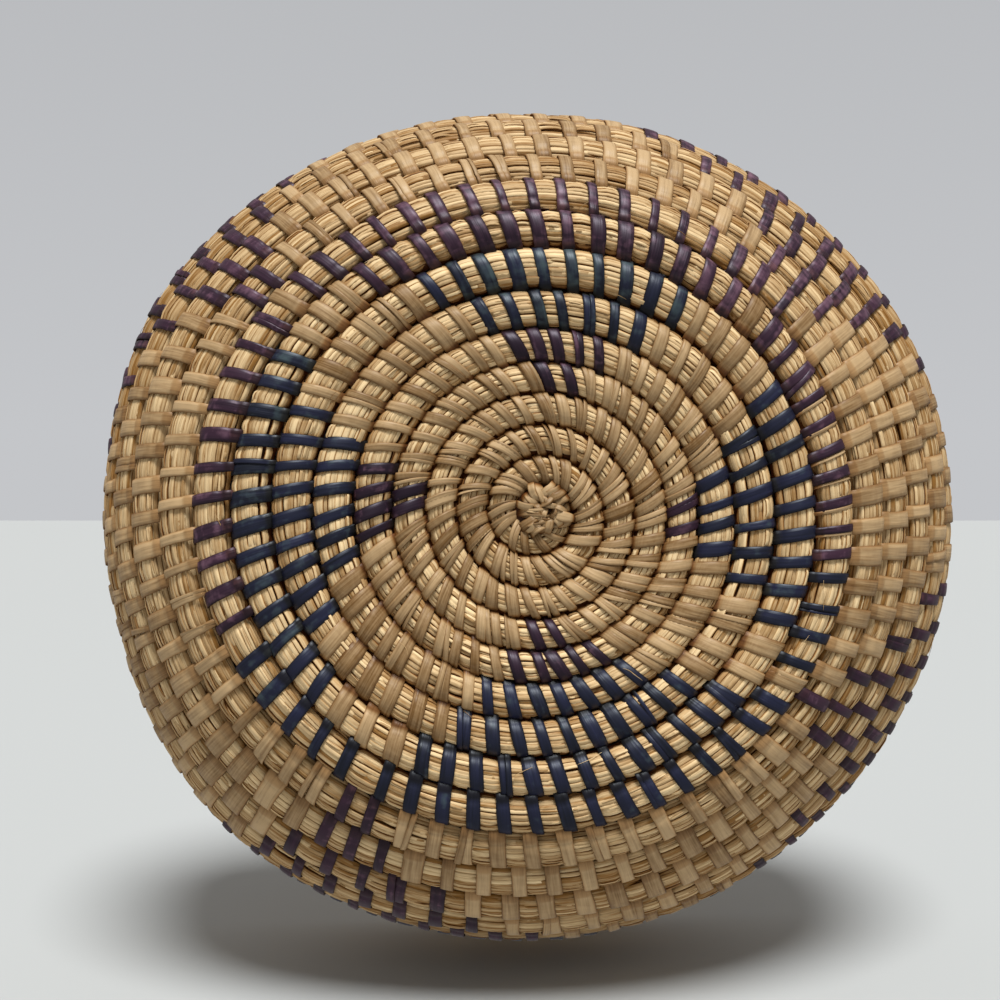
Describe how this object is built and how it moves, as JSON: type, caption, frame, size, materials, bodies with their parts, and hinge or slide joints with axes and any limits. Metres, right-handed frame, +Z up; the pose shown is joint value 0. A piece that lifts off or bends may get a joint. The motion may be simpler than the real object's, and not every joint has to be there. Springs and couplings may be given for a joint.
{
  "type": "coiled basket",
  "caption": "Round open basket of grass wound in a spiral and sewn with natural, navy and purple split leaf in a lobed pattern.",
  "frame": {"origin": "middle of the basket on the plane of its foot turn", "axes": "+Z up along the basket's axis to its mouth, -X towards the side that is at the picture's right"},
  "size_m": [0.2179, 0.218, 0.0925],
  "materials": {
    "grass_bundle": "dry golden grass stems",
    "natural_leaf": "undyed split leaf, satin",
    "navy_leaf": "navy dyed split leaf, satin",
    "purple_leaf": "purple dyed split leaf, satin"
  },
  "bodies": {
    "root": {"start_knot": "grass_bundle", "base_coil": "grass_bundle", "lower_wall_coil": "grass_bundle", "upper_wall_coil": "grass_bundle", "rim_coil": "grass_bundle", "base_west_strand_turn_6": "purple_leaf", "base_west_strand_turn_7": "navy_leaf", "base_west_strand_turn_8": "navy_leaf", "base_west_strand_turn_9": "navy_leaf", "base_north_strand_turn_6": "purple_leaf", "base_north_strand_turn_7": "purple_leaf", "base_north_strand_turn_8": "navy_leaf", "base_north_strand_turn_9": "navy_leaf", "base_east_strand_turn_6": "purple_leaf", "base_east_strand_turn_7": "purple_leaf", "base_east_strand_turn_8": "navy_leaf", "base_east_strand_turn_9": "navy_leaf", "base_south_strand_turn_6": "purple_leaf", "base_south_strand_turn_7": "purple_leaf", "base_south_strand_turn_8": "navy_leaf", "base_south_strand_turn_9": "navy_leaf", "wall_northwest_strand_turn_12": "purple_leaf", "wall_northwest_strand_turn_13": "purple_leaf", "wall_northwest_strand_turn_14": "purple_leaf", "wall_northwest_strand_turn_15": "purple_leaf", "wall_northeast_strand_turn_12": "purple_leaf", "wall_northeast_strand_turn_13": "purple_leaf", "wall_northeast_strand_turn_14": "purple_leaf", "wall_northeast_strand_turn_15": "purple_leaf", "wall_southeast_strand_turn_12": "purple_leaf", "wall_southeast_strand_turn_13": "purple_leaf", "wall_southeast_strand_turn_14": "purple_leaf", "wall_southeast_strand_turn_15": "purple_leaf", "wall_southwest_strand_turn_12": "purple_leaf", "wall_southwest_strand_turn_13": "purple_leaf", "wall_southwest_strand_turn_14": "purple_leaf", "wall_southwest_strand_turn_15": "purple_leaf", "ring_east_strand_turn_11": "navy_leaf", "ring_northeast_strand_turn_11": "purple_leaf", "ring_north_strand_turn_11": "purple_leaf"}
  },
  "joints": []
}
